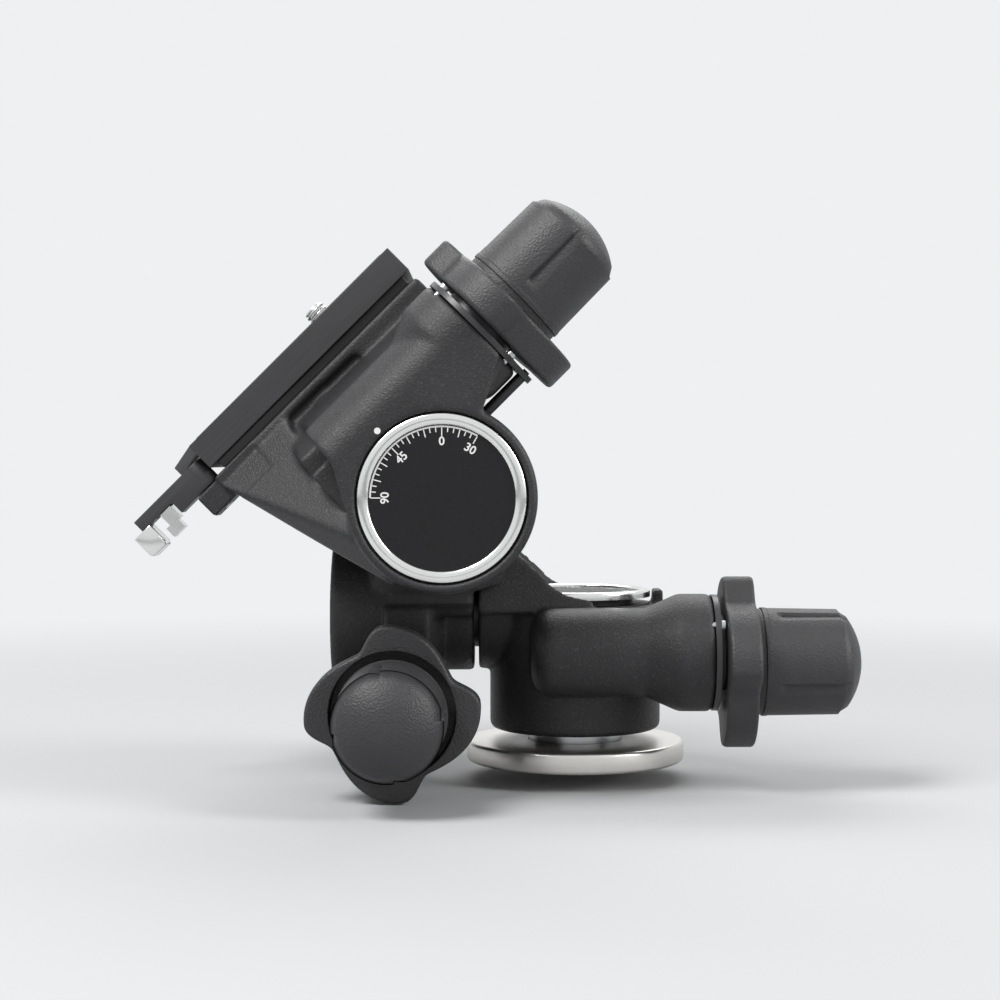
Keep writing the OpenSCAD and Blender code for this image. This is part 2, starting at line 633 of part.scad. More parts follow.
module platform() {
    dove_right = plate_mid_t + dove_len / 2;
    recess_wid = plate_wid - 2 * dove_side + 1;
    difference() {
        union() {
            translate([platform_left, platform_near, platform_n - platform_h])
                cube([plate_len + 1.2, plate_wid, platform_h]);
            // lug that houses the lever's cam
            translate([lever_t - 4.5, lever_y - lug_w / 2, platform_n - 7.5]) cube([9, lug_w, 6.9]);
        }
        // recess for the dovetail, undercut at its right end
        translate([0, -plate_y + recess_wid / 2, 0]) rotate([90, 0, 0]) linear_extrude(recess_wid)
            polygon([[recess_left, recess_n], [dove_right + dove_slope + 0.6, recess_n],
                [dove_right + 0.3, platform_n + 0.2], [dove_right + 0.3, platform_n + 5],
                [recess_left, platform_n + 5]]);
        // shallow pocket in the near face, above the worm's barrel
        translate([0, platform_near + 1.6, 0]) rotate([90, 0, 0]) linear_extrude(5)
            polygon([[-15, platform_n - platform_h - 1], [-15, platform_n - 2.5],
                [9, platform_n - 3.2], [12.5, platform_n - platform_h - 1]]);
        // slot for the wedge's stem
        translate([lever_t, lever_y - stem_w / 2 - 0.3, recess_n])
            cube([recess_left + 3 - lever_t, stem_w + 0.6, 10]);
        translate([lever_t, lever_y, 0]) cylinder(r = pivot_r, h = 80);
        translate([lever_t, lever_y, recess_n]) cylinder(r = cam_r + cam_out + 0.3, h = 10);
        translate([lever_t, lever_y, platform_n - 0.6]) cylinder(r = lever_w / 2 + 0.4, h = 10);
    }
}

module front_housing() color(black) difference() {
    union() {
        front_frame() flipped() drum(drum_front);
        front_frame() flipped() barrel();
        front_frame() flipped() front_web();
        platform_frame() {
            left_wall();
            platform_skirt();
            top_web();
            rib_foot();
            gusset(-7, 26);
            gusset(24, 26);
            platform();
        }
    }
    front_frame() flipped() drive_bores();
}

// ---------- camera platform ----------

module plate_outline(cut) polygon([[-half_len, -plate_wid / 2], [half_len, -plate_wid / 2],
    [half_len, plate_wid / 2 - cut], [half_len - cut, plate_wid / 2],
    [-half_len + cut, plate_wid / 2], [-half_len, plate_wid / 2 - cut]]);

module camera_plate() {
    dove_wid = plate_wid - 2 * dove_side;
    color(black) platform_frame() translate([plate_mid_t, -plate_y, plate_n]) difference() {
        union() {
            linear_extrude(plate_h) plate_outline(5);
            // lip that covers the lever's pivot
            translate([0, 0, 4.7]) linear_extrude(plate_h - 4.7) polygon([[-half_len, -plate_wid / 2 + 0.5],
                [-half_len - 8.2, -plate_wid / 2 + 12], [-half_len - 8.2, plate_wid / 2 - 16],
                [-half_len, plate_wid / 2 - 5]]);
            translate([0, 0, -foot_h]) linear_extrude(foot_h) offset(delta = -2.5) plate_outline(5);
            translate([0, dove_wid / 2, -foot_h]) rotate([90, 0, 0]) linear_extrude(dove_wid)
                polygon([[-dove_len / 2, 1], [dove_len / 2, 1], [dove_len / 2, 0],
                    [dove_len / 2 + dove_slope, -dove_h], [-dove_len / 2 - dove_slope, -dove_h],
                    [-dove_len / 2, 0]]);
        }
        translate([screw_t - plate_mid_t, 0, -10]) cylinder(r = screw_r + 0.25, h = 30);
        translate([screw_t - plate_mid_t, 0, -10]) cylinder(r = 9.3, h = 10.2);
        translate([0, 0, plate_h + pad_up - pad_h]) linear_extrude(5) offset(delta = -2.5) plate_outline(5);
    }
}

module plate_pad() color(satin_black) platform_frame() translate([plate_mid_t, -plate_y, pad_n - pad_h])
    difference() {
        linear_extrude(pad_h) offset(delta = -2.6) plate_outline(5);
        translate([screw_t - plate_mid_t, 0, -1]) cylinder(r = screw_r + 0.6, h = 10);
    }

module camera_screw() color(silver) platform_frame() translate([screw_t, -plate_y, plate_n]) difference() {
    tip = plate_h + pad_up + screw_up;
    thread_from = plate_h + pad_up + screw_lift;
    union() {
        translate([0, 0, -3.2]) cylinder(r = 9, h = 3.2);
        // a thinner neck lets the screw turn freely in the plate
        translate([0, 0, -1]) cylinder(r = screw_r - 0.6, h = thread_from + 1.5);
        translate([0, 0, thread_from]) cylinder(r = screw_r, h = tip - 0.5 - thread_from);
        translate([0, 0, tip - 0.5]) cylinder(r1 = screw_r, r2 = screw_r - 0.5, h = 0.5);
    }
    translate([-1, -10, -5]) cube([2, 20, 2.9]);
}

// The lever swings about its pivot beside the plate, its cam is inside the lug
module clamp_lever() color(black) platform_frame() translate([lever_t, lever_y, 0]) difference() {
    low = platform_n - 0.3;
    bar_w = lever_w - 0.4;
    union() {
        translate([0, 0, low]) cylinder(r = lever_w / 2, h = 7);
        translate([cam_out, 0, recess_n + 0.2]) cylinder(r = cam_r, h = low - recess_n);
        translate([-10, -bar_w / 2, low]) cube([10, bar_w, 7]);
        translate([3 - lever_len, -bar_w / 2, low + 3.7]) cube([lever_len - 4, bar_w, 3.3]);
    }
    cylinder(r = pivot_r + run_gap, h = 80);
    translate([-16.2, -1.3, low + 2]) cube([7.2, 2.6, 3.2]);
}

module lever_pivot() color(steel) platform_frame() translate([lever_t, lever_y, 0])
    translate([0, 0, platform_n - 7.5]) cylinder(r = pivot_r, h = 13);

module lever_tab() color(silver) platform_frame() translate([lever_t - lever_len, lever_y, 0]) hull() {
    translate([0, -lever_w / 2 - 0.4, platform_n - 2.4]) cube([5.6, lever_w + 0.8, 5.8]);
    translate([0.6, -lever_w / 2 - 0.4, platform_n - 3.4]) cube([4.4, lever_w + 0.8, 6.8]);
}

module clamp_wedge() color(bronze) platform_frame() {
    dove_left = plate_mid_t - dove_len / 2 - dove_slope;
    translate([0, platform_near + dove_side + 12.8, 0]) rotate([90, 0, 0]) linear_extrude(12.6)
        polygon([[recess_left + 0.9, recess_n + 0.2], [dove_left - 0.25, recess_n + 0.2],
            [dove_left + 0.95, recess_n + 2.8], [recess_left + 0.9, recess_n + 2.8]]);
    stem_from = lever_t + cam_r + cam_out + 0.3;
    translate([stem_from, lever_y - stem_w / 2, recess_n + 0.2])
        cube([recess_left + 1.4 - stem_from, stem_w, 2.4]);
}

module safety_catch() color(silver) platform_frame() translate([lever_t - lever_len + 9.8, lever_y, 0]) {
    translate([-0.6, -3, platform_n - 0.6]) cube([3.6, 6, 3.8]);
    translate([-2, -2.4, platform_n - 3.4]) cube([4, 4.8, 3]);
    translate([0.4, -1, platform_n + 2.4]) cube([2, 2, 2]);
}

// ---------- the three drives ----------

base_disc();
base_screws();
pan_spindle();
pan_frame() worm_wheel();  // pan_wheel
pan_frame() nut();  // pan_nut
pan_frame() dial();  // pan_dial
pan_frame() dial_ring();  // pan_dial_ring
pan_housing();
pan_frame() bush();  // pan_bush
pan_frame() cover();  // pan_cover
pan_frame() retainer();  // pan_retainer
pan_frame() retainer_screws();  // pan_retainer_screws
pan_frame() spring();  // pan_spring
pan_frame() stop_pin();  // pan_stop_pin
pan_frame() sleeve();  // pan_sleeve
pan_frame() collar(180, 1);  // pan_collar
pan_frame() worm_shaft();  // pan_worm
pan_frame() knob(20);  // pan_knob
side_frame() wheel_shaft(3, 12);  // side_shaft
side_frame() seat_screws();  // side_shaft_screws
side_frame() worm_wheel();  // side_wheel
side_frame() nut();  // side_nut
side_frame() dial();  // side_dial
side_frame() dial_ring();  // side_dial_ring
side_housing();
side_frame() bush();  // side_bush
side_frame() cover();  // side_cover
side_frame() retainer();  // side_retainer
side_frame() retainer_screws();  // side_retainer_screws
side_frame() spring();  // side_spring
side_frame() stop_pin();  // side_stop_pin
side_frame() sleeve();  // side_sleeve
side_frame() collar(7, 1);  // side_collar
side_frame() worm_shaft();  // side_worm
side_frame() knob(7);  // side_knob
front_frame() flipped() wheel_shaft(3, 12);  // front_shaft
front_frame() flipped() seat_screws();  // front_shaft_screws
front_frame() worm_wheel();  // front_wheel
front_frame() flipped() nut();  // front_nut
front_frame() flipped() dial();  // front_dial
front_frame() flipped() dial_ring();  // front_dial_ring
front_housing();
front_frame() flipped() bush();  // front_bush
front_frame() flipped() cover();  // front_cover
front_frame() flipped() retainer();  // front_retainer
front_frame() flipped() retainer_screws();  // front_retainer_screws
front_frame() flipped() spring();  // front_spring
front_frame() flipped() stop_pin();  // front_stop_pin
front_frame() flipped() sleeve();  // front_sleeve
front_frame() collar(0, -1);  // front_collar
front_frame() worm_shaft();  // front_worm
front_frame() knob(0);  // front_knob
clamp_lever();
lever_pivot();
lever_tab();
clamp_wedge();
safety_catch();
camera_plate();
plate_pad();
camera_screw();
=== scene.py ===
# %% [markdown]
# The object is a three-axis geared tripod head: three cast housings, each with a worm drive,
# a domed knob and a lobed release collar, and a quick-release plate for the camera on top.
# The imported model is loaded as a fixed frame. Every piece made here sits on it, in metres.

# %% Load the frame
import bmesh
import bpy
import numpy as np
from mathutils import Matrix, Vector


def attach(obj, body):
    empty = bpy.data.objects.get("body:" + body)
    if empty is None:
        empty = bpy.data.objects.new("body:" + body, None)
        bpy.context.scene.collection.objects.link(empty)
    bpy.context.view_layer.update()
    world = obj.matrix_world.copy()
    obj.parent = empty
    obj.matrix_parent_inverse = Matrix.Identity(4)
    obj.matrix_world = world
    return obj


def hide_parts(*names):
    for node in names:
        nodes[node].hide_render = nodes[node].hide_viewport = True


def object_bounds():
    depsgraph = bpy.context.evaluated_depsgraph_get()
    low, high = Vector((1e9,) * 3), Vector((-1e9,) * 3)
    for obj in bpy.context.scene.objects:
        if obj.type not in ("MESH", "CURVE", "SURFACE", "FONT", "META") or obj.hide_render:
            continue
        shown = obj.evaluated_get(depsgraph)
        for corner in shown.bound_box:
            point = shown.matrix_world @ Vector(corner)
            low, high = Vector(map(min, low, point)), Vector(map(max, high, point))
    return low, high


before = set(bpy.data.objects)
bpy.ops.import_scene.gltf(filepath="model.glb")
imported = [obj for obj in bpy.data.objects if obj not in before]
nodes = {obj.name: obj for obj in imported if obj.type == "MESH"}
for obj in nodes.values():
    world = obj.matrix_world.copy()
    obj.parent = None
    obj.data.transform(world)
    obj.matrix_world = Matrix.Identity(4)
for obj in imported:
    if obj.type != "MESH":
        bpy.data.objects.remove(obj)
cad_low, cad_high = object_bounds()
MM = 0.001
print("nodes:", len(nodes), "box in mm:", [round((b - a) / MM, 1) for a, b in zip(cad_low, cad_high)])

# %% [markdown]
# Each of the three drives has a frame of its own, as in a workshop drawing: x along the worm
# towards the knob, the worm on the -y side of the wheel, and z along the wheel's axis.
# A small function for each frame turns its local points into the object's frame.

# %% Frames of the drives
TILT = np.radians(45.0)
T_AXIS = np.array([np.cos(TILT), 0.0, np.sin(TILT)])
N_AXIS = np.array([-np.sin(TILT), 0.0, np.cos(TILT)])
Y_AXIS = np.array([0.0, 1.0, 0.0])
FRONT_AT = np.array([-35.0, -48.2, 73.5])
SIDE_AT = np.array([-48.2, 0.0, 41.0])
PAN_AT = np.array([0.0, 0.0, 29.2])


def to_pan(p):
    """Local (x, y, z) in mm to the object's frame: x to +X, y to +Y, z to +Z."""
    p = np.asarray(p, float)
    return PAN_AT + p


def to_side(p):
    """Local (x, y, z) in mm: x runs to -Y, y to +Z and z to -X."""
    p = np.asarray(p, float)
    return SIDE_AT + np.stack([-p[..., 2], -p[..., 0], p[..., 1]], -1)


def to_front(p):
    """Local (x, y, z) in mm: x runs along the platform, y away from it and z to +Y."""
    p = np.asarray(p, float)
    return FRONT_AT + p[..., :1] * T_AXIS - p[..., 1:2] * N_AXIS + p[..., 2:] * Y_AXIS


def to_platform(p):
    """Platform (t, y, n) in mm: t along the platform, y away from the viewer, n out of it."""
    p = np.asarray(p, float)
    at = np.array([FRONT_AT[0], 0.0, FRONT_AT[2]])
    return at + p[..., :1] * T_AXIS + p[..., 1:2] * Y_AXIS + p[..., 2:] * N_AXIS


FRAMES = {"pan": to_pan, "side": to_side, "front": to_front}
print("worm of the front drive passes", to_front([0, -23, 0]).round(1))

# %% [markdown]
# A material in Blender is a graph of nodes. Written as plain Python, a graph reads like the
# sum that it is, so a small class wraps a socket and gives it +, -, * and powers.
# Each operator adds one Math node. All other nodes come from the method called node.

# %% Shader maths
class Wire:
    """One output socket of a node, with the operators that a mask needs."""

    def __init__(self, tree, socket):
        self.tree = tree
        self.socket = socket

    def node(self, kind, settings=None, out=0, **inputs):
        """Adds a node of a kind. Settings come first, then values or wires for its sockets."""
        made = self.tree.nodes.new(kind)
        for key, value in (settings or {}).items():
            if key == "stops":
                ramp = made.color_ramp
                while len(ramp.elements) < len(value):
                    ramp.elements.new(0.5)
                for stop, (at, level) in zip(ramp.elements, value):
                    stop.position = at
                    stop.color = (*level, 1.0) if isinstance(level, tuple) else (level, level, level, 1.0)
            else:
                setattr(made, key, value)
        for key, value in inputs.items():
            name = int(key[1:]) if key[0] == "i" and key[1:].isdigit() else key.replace("_", " ")
            slot = made.inputs[name]
            if isinstance(value, Wire):
                self.tree.links.new(value.socket, slot)
            else:
                slot.default_value = value
        return Wire(self.tree, made.outputs[out])

    def math(self, operation, a, b=0.0):
        return self.node("ShaderNodeMath", {"operation": operation}, i0=a, i1=b)

    def __add__(self, other):
        return self.math("ADD", self, other)

    def __radd__(self, other):
        return self.math("ADD", other, self)

    def __sub__(self, other):
        return self.math("SUBTRACT", self, other)

    def __rsub__(self, other):
        return self.math("SUBTRACT", other, self)

    def __mul__(self, other):
        return self.math("MULTIPLY", self, other)

    def __rmul__(self, other):
        return self.math("MULTIPLY", other, self)

    def __truediv__(self, other):
        return self.math("DIVIDE", self, other)

    def __pow__(self, other):
        return self.math("POWER", self, other)

    def step(self, low, high):
        """Smooth rise from 0 to 1 as the value goes from low to high."""
        return self.node("ShaderNodeMapRange", {"interpolation_type": "SMOOTHSTEP"},
                         Value=self, From_Min=low, From_Max=high)

    def mix(self, dark, light):
        """Colour that runs from dark to light as the value goes from 0 to 1."""
        return self.node("ShaderNodeMix", {"data_type": "RGBA"}, out=2, i0=self,
                         i6=(*dark, 1.0) if isinstance(dark, tuple) else dark,
                         i7=(*light, 1.0) if isinstance(light, tuple) else light)


def start_material(name, metallic=0.0, roughness=0.5, **constants):
    """New material: returns it, its shader node and a wire with the Object coordinates."""
    made = bpy.data.materials.new(name)
    made.use_nodes = True
    tree = made.node_tree
    shader = tree.nodes["Principled BSDF"]
    shader.inputs["Metallic"].default_value = metallic
    shader.inputs["Roughness"].default_value = roughness
    for key, value in constants.items():
        shader.inputs[key.replace("_", " ")].default_value = value
    place = Wire(tree, tree.nodes.new("ShaderNodeTexCoord").outputs["Object"])
    return made, shader, place


def feed(shader, name, wire):
    """Links a wire to one of the shader's sockets."""
    wire.tree.links.new(wire.socket, shader.inputs[name])


def bump(height, strength, distance_mm, normal=None):
    """Bump node from a height wire, with its depth in mm."""
    extra = {"Normal": normal} if normal else {}
    return height.node("ShaderNodeBump", Height=height, Strength=strength,
                       Distance=distance_mm * MM, **extra)


def noise(place, size_mm, detail=2.0, roughness=0.5, stretch=(1, 1, 1)):
    """Noise whose lumps are about size_mm across, stretched along an axis where asked."""
    at = place.node("ShaderNodeMapping", Vector=place, Scale=tuple(1.0 / s for s in stretch))
    return place.node("ShaderNodeTexNoise", Vector=at, Scale=1.0 / (size_mm * MM),
                      Detail=detail, Roughness=roughness)


def soft_edges(place, radius_mm):
    """Normal that rounds every edge by a small radius, as casting and paint do."""
    return place.node("ShaderNodeBevel", {"samples": 6}, Radius=radius_mm * MM)


print("shader helpers ready")

# %% [markdown]
# The castings wear a black powder coat. It is baked from a fine powder, so it keeps a tiny
# orange-peel texture that catches light as speckles. Fine noise drives colour, gloss and bump.

# %% Powder-coated castings
def powder_coat():
    made, shader, at = start_material("black_powder_coat", roughness=0.5, Specular_IOR_Level=0.42)
    grain = noise(at, 0.55, detail=3.0, roughness=0.6)
    cloud = noise(at, 14.0, detail=2.0)
    speckle = grain.step(0.54, 0.70)
    base = (cloud * 0.4 + speckle * 0.6).mix((0.008, 0.008, 0.009), (0.046, 0.046, 0.048))
    feed(shader, "Base Color", base)
    feed(shader, "Roughness", 0.46 + cloud * 0.08 - speckle * 0.12)
    feed(shader, "Normal", bump(grain, 0.8, 0.22))
    return made


COAT = powder_coat()

# %% [markdown]
# Knobs and collars are moulded with a fine matt grain, like smooth leather. It is softer than
# the powder coat: cells of about half a millimetre with thin valleys between them.

# %% Grained grips
def grip_grain():
    made, shader, at = start_material("black_grip_grain", roughness=0.46, Specular_IOR_Level=0.42)
    cells = at.node("ShaderNodeTexVoronoi", {"feature": "SMOOTH_F1"}, Vector=at,
                    Scale=1.0 / (0.55 * MM), Smoothness=0.6)
    fine = noise(at, 0.3, detail=2.0)
    cloud = noise(at, 9.0, detail=2.0)
    feed(shader, "Base Color", (cloud * 0.4 + fine * 0.6).mix((0.012, 0.012, 0.013), (0.046, 0.046, 0.048)))
    feed(shader, "Roughness", 0.40 + cloud * 0.12 + fine * 0.06)
    feed(shader, "Normal", bump(cells + fine * 0.6, 0.7, 0.15))
    return made


GRIP = grip_grain()

# %% [markdown]
# The camera plate is machined aluminium, anodised black. The cutter leaves fine lines along its
# sides, so the noise is stretched a hundredfold along the platform.

# %% Machined black
def machined_black(name, roughness=0.42):
    made, shader, at = start_material(name, metallic=0.0, roughness=roughness)
    turn = at.node("ShaderNodeMapping", Vector=at, Rotation=(0.0, TILT, 0.0))
    lines = noise(turn, 0.35, detail=2.0, stretch=(60, 60, 1))
    cloud = noise(at, 12.0)
    feed(shader, "Base Color", (lines * 0.6 + cloud * 0.4).mix((0.015, 0.015, 0.016), (0.045, 0.045, 0.047)))
    feed(shader, "Roughness", roughness - 0.08 + lines * 0.2)
    feed(shader, "Normal", bump(lines, 0.25, 0.04, soft_edges(at, 0.3)))
    return made


MACHINED = machined_black("black_machined_plate")
DARK_STEEL = machined_black("dark_steel_plate", 0.35)

# %% [markdown]
# The base disc is turned aluminium with a satin finish: rings round the pan axis, a little
# warmer than chrome. The dial rings are brighter and nearly free of marks.

# %% Silver metals
def turned_silver(name, tint, roughness, ring_mm, depth):
    made, shader, at = start_material(name, metallic=1.0, roughness=roughness)
    parts = at.node("ShaderNodeSeparateXYZ", Vector=at)
    tree = at.tree
    source = parts.socket.node
    x, y, z = (Wire(tree, source.outputs[i]) for i in range(3))
    radius = (x * x + y * y) ** 0.5
    rings = at.node("ShaderNodeTexNoise", {"noise_dimensions": "2D"},
                    Vector=at.node("ShaderNodeCombineXYZ", X=radius, Y=z),
                    Scale=1.0 / (ring_mm * MM), Detail=3.0)
    cloud = noise(at, 8.0)
    feed(shader, "Base Color", (rings * 0.5 + cloud * 0.5).mix(tuple(0.86 * c for c in tint), tint))
    feed(shader, "Roughness", roughness - 0.05 + rings * 0.10)
    feed(shader, "Normal", bump(rings, 0.2, depth, soft_edges(at, 0.3)))
    return made


SATIN = turned_silver("satin_silver", (0.72, 0.70, 0.67), 0.34, 0.25, 0.02)


def plain_metal(name, tint, roughness, grain_mm=0.5):
    made, shader, at = start_material(name, metallic=1.0, roughness=roughness)
    fine = noise(at, grain_mm, detail=3.0)
    cloud = noise(at, 6.0)
    feed(shader, "Base Color", (fine * 0.4 + cloud * 0.6).mix(tuple(0.85 * c for c in tint), tint))
    feed(shader, "Roughness", roughness - 0.06 + cloud * 0.12)
    feed(shader, "Normal", bump(fine, 0.15, 0.02, soft_edges(at, 0.15)))
    return made


BRIGHT = plain_metal("bright_ring", (0.86, 0.86, 0.85), 0.16)
STEEL = plain_metal("turned_steel", (0.56, 0.57, 0.58), 0.30)
BLACKENED = plain_metal("blackened_steel", (0.06, 0.06, 0.062), 0.42)
BRONZE = plain_metal("machined_bronze", (0.62, 0.42, 0.20), 0.32)
PLATED = plain_metal("bright_plated", (0.80, 0.80, 0.79), 0.20)

# %% [markdown]
# Dials are smooth black discs. The camera pad is matt rubber with a fine grain.

# %% Dial black and rubber
def dial_black():
    made, shader, at = start_material("dial_black", roughness=0.38, Specular_IOR_Level=0.2)
    grain = noise(at, 0.5, detail=2.0)
    feed(shader, "Base Color", grain.mix((0.007, 0.007, 0.008), (0.016, 0.016, 0.017)))
    feed(shader, "Roughness", 0.34 + grain * 0.12)
    feed(shader, "Normal", bump(grain, 0.2, 0.03))
    return made


def rubber():
    made, shader, at = start_material("ribbed_rubber", roughness=0.7)
    fine = noise(at, 0.4, detail=2.0)
    feed(shader, "Base Color", fine.mix((0.018, 0.018, 0.018), (0.035, 0.035, 0.034)))
    feed(shader, "Roughness", 0.62 + fine * 0.16)
    feed(shader, "Normal", bump(fine, 0.3, 0.05, soft_edges(at, 0.3)))
    return made


DIAL = dial_black()
RUBBER = rubber()

# %% Materials of the CAD nodes
FINISH = {
    "housing": COAT, "collar": GRIP, "knob": GRIP, "base_disc": SATIN, "dial_ring": BRIGHT,
    "dial": DIAL, "wheel": BRONZE, "bush": BRONZE, "clamp_wedge": BRONZE, "cover": MACHINED,
    "retainer": DARK_STEEL, "camera_plate": MACHINED, "clamp_lever": MACHINED, "plate_pad": RUBBER,
    "camera_screw": PLATED, "lever_tab": PLATED, "safety_catch": PLATED,
    "stop_pin": BLACKENED, "sleeve": BLACKENED, "side_shaft": BLACKENED, "front_shaft": BLACKENED,
}
for name, piece in nodes.items():
    key = max((k for k in FINISH if name.endswith(k)), key=len, default=None)
    piece.data.materials.clear()
    piece.data.materials.append(FINISH.get(key, STEEL))
print("finishes on", len(nodes), "nodes")

# %% [markdown]
# New pieces are surfaces worked out with numpy. A surface is a grid of points: one direction
# follows a profile, the other goes round. Quads join neighbours, doubled points at a pole are
# merged and the normals are turned outwards. Sharp edges are marked by their angle.

# %% Grids of points to meshes
def grid_mesh(name, points, wrap_u=False):
    """Mesh over points (nu, nv, 3) in mm: quad (i, j) joins rows i, i+1 and columns j, j+1.
    The columns always close round, and the rows do so where wrap_u says it."""
    nu, nv = points.shape[:2]
    i = np.arange(nu if wrap_u else nu - 1)[:, None]
    j = np.arange(nv)[None, :]
    i1, j1 = (i + 1) % nu, (j + 1) % nv
    corners = np.broadcast_arrays(i * nv + j, i1 * nv + j, i1 * nv + j1, i * nv + j1)
    quads = np.stack(corners, -1).reshape(-1, 4)
    mesh = bpy.data.meshes.new(name)
    mesh.vertices.add(nu * nv)
    mesh.vertices.foreach_set("co", (np.asarray(points) * MM).ravel())
    mesh.loops.add(quads.size)
    mesh.loops.foreach_set("vertex_index", quads.ravel())
    mesh.polygons.add(len(quads))
    mesh.polygons.foreach_set("loop_start", np.arange(0, quads.size, 4))
    mesh.update(calc_edges=True)
    return mesh


def tidy_mesh(mesh, merge=1e-7, angle=40.0):
    """Merges doubled points, turns faces outwards and shades all but sharp edges smooth."""
    work = bmesh.new()
    work.from_mesh(mesh)
    bmesh.ops.remove_doubles(work, verts=work.verts, dist=merge)
    bmesh.ops.recalc_face_normals(work, faces=work.faces)
    work.to_mesh(mesh)
    work.free()
    mesh.shade_smooth()
    mesh.set_sharp_from_angle(angle=np.radians(angle))
    return mesh


def add_piece(name, mesh, body, material, stands_for=()):
    """Puts a finished mesh in the scene: it rides on a body and may stand for CAD nodes."""
    made = bpy.data.objects.new(name, mesh)
    bpy.context.scene.collection.objects.link(made)
    mesh.materials.clear()
    mesh.materials.append(material)
    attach(made, body)
    if stands_for:
        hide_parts(*stands_for)


def eased(corners, ease, closed=False, steps=7):
    """Profile with soft corners: each becomes a parabola that starts and ends 'ease' mm away.
    With A and C on the two sides and P the corner, a point is (1-t)^2 A + 2t(1-t) P + t^2 C."""
    p = np.asarray(corners, float)
    ease = np.asarray(ease, float).reshape((-1,) + (1,) * (p.ndim - 1))
    back, ahead = np.roll(p, 1, 0) - p, np.roll(p, -1, 0) - p
    if not closed:
        back[0], ahead[-1] = ahead[0], back[-1]
    back /= np.linalg.norm(back, axis=-1, keepdims=True)
    ahead /= np.linalg.norm(ahead, axis=-1, keepdims=True)
    t = np.linspace(0.0, 1.0, steps).reshape((1, steps) + (1,) * (p.ndim - 1))
    a, c = (p + ease * back)[:, None], (p + ease * ahead)[:, None]
    curve = (1 - t) ** 2 * a + 2 * t * (1 - t) * p[:, None] + t ** 2 * c
    return curve.reshape((-1,) + p.shape[1:])


def turned(profile, count, shape=None):
    """Surface of revolution about the local x axis: point = (x, r cos a, r sin a).
    shape(x, r, a) may change the radius, as a groove or a thread does."""
    x, r = np.asarray(profile, float).T[..., None]
    a = np.linspace(0.0, 2 * np.pi, count, endpoint=False)[None, :]
    r = r + 0 * a
    if shape:
        r = shape(x, r, a)
    return np.stack([x + 0 * r, r * np.cos(a), r * np.sin(a)], -1)


def smooth_step(value, low, high):
    """3t^2 - 2t^3, with t the share of the way from low to high."""
    t = np.clip((value - low) / (high - low), 0.0, 1.0)
    return t * t * (3.0 - 2.0 * t)


print("grid helpers ready")

# %% [markdown]
# A knob's cap is one closed turned shape: a dome, nearly straight sides, a raised skirt and a
# flat bottom inside the collar. Four grooves run along it. Across a groove the floor rises from
# a steep wall on one side to the surface on the other, so a thumb finds it from either side.

# %% Knob caps
WORM_Y = -23.0
CAP_R, CAP_END, DOME_H = 14.35, 74.9, 6.0
SKIRT_FROM, SKIRT_TO, GROOVE_FROM = 48.3, 49.7, 51.5
GROOVE_DEEP, GROOVE_WIDE, SIDES = 1.3, 4.4, 4
CAP_FOOT, SOCKET_END, SOCKET_R = 45.9, 41.9, 5.5
MERGE, CREASE = 1e-6, 50.0


def groove_depth(x, turn, a):
    """Depth at angle a: deepest at each groove's wall, then falling in a straight line to 0."""
    sector = 2 * np.pi / SIDES
    along = ((a - turn + 0.02) % sector - 0.02) * CAP_R
    wall = smooth_step(along, -0.25, 0.25)
    floor = np.clip(1.0 - along / GROOVE_WIDE, 0.0, 1.0)
    reach = smooth_step(x, GROOVE_FROM, GROOVE_FROM + 2.0)
    return GROOVE_DEEP * wall * floor * reach


def knob_cap(turn):
    """Points of a cap in its drive's frame, its grooves turned by an angle about the worm."""
    dome_x = CAP_END - DOME_H
    dome_r = (CAP_R ** 2 + DOME_H ** 2) / (2 * DOME_H)
    a = np.linspace(0.0, np.arcsin((CAP_R - 1.4) / dome_r), 14)
    dome = np.stack([CAP_END - dome_r * (1 - np.cos(a)), dome_r * np.sin(a)], -1)
    side = np.array([(dome_x + 0.1, CAP_R - 0.45), (SKIRT_TO, CAP_R - 0.15), (SKIRT_TO, CAP_R),
                     (SKIRT_FROM, CAP_R), (SKIRT_FROM, CAP_R - 0.35), (CAP_FOOT, CAP_R - 0.35),
                     (CAP_FOOT, SOCKET_R), (SOCKET_END, SOCKET_R), (SOCKET_END, 0.0)])
    soft = eased(side, [1.1, 0.1, 0.25, 0.25, 0.1, 0.2, 0.2, 0.2, 0.0])
    sides_of_cap = np.linspace(soft[6], soft[7], 26)[1:-1]
    profile = np.vstack([dome[:-1], soft[:7], sides_of_cap, soft[7:]])

    def shape(x, r, angle):
        grooved = np.minimum(r, CAP_R - groove_depth(x, turn, angle))
        return np.where((r > 10.0) & (x > SKIRT_TO + 0.5), grooved, r)

    return turned(profile, 288, shape) + [0.0, WORM_Y, 0.0]


KNOB_TURNS = {"pan": 20.0, "side": 7.0, "front": 0.0}
for drive, turn in KNOB_TURNS.items():
    points = FRAMES[drive](knob_cap(np.radians(turn)))
    mesh = tidy_mesh(grid_mesh(drive + "_knob_cap", points), MERGE, CREASE)
    add_piece(drive + "_knob_cap", mesh, drive + "_drive", GRIP, [drive + "_knob"])
print("knob caps:", len(mesh.polygons), "faces each")

# %% [markdown]
# The release collar has four lobes that lean one way, like a propeller, so that a finger pushes
# it round. Its outline is a cosine that rises slowly over 66 degrees and falls over 24. The
# section is a thick washer: rounded rim, a recess for the cap and an eccentric bore behind.

# %% Release collars
COLLAR_X, COLLAR_W, FLOOR_X, RECESS_R = 38.0, 8.3, 41.2, 16.2
TIP_R, VALLEY_R, BORE_R, OUT, ASIDE = 22.6, 17.6, 9.85, 1.6, 2.6
SLOPE_DEG, LOBE_DEG = 66.0, 90.0


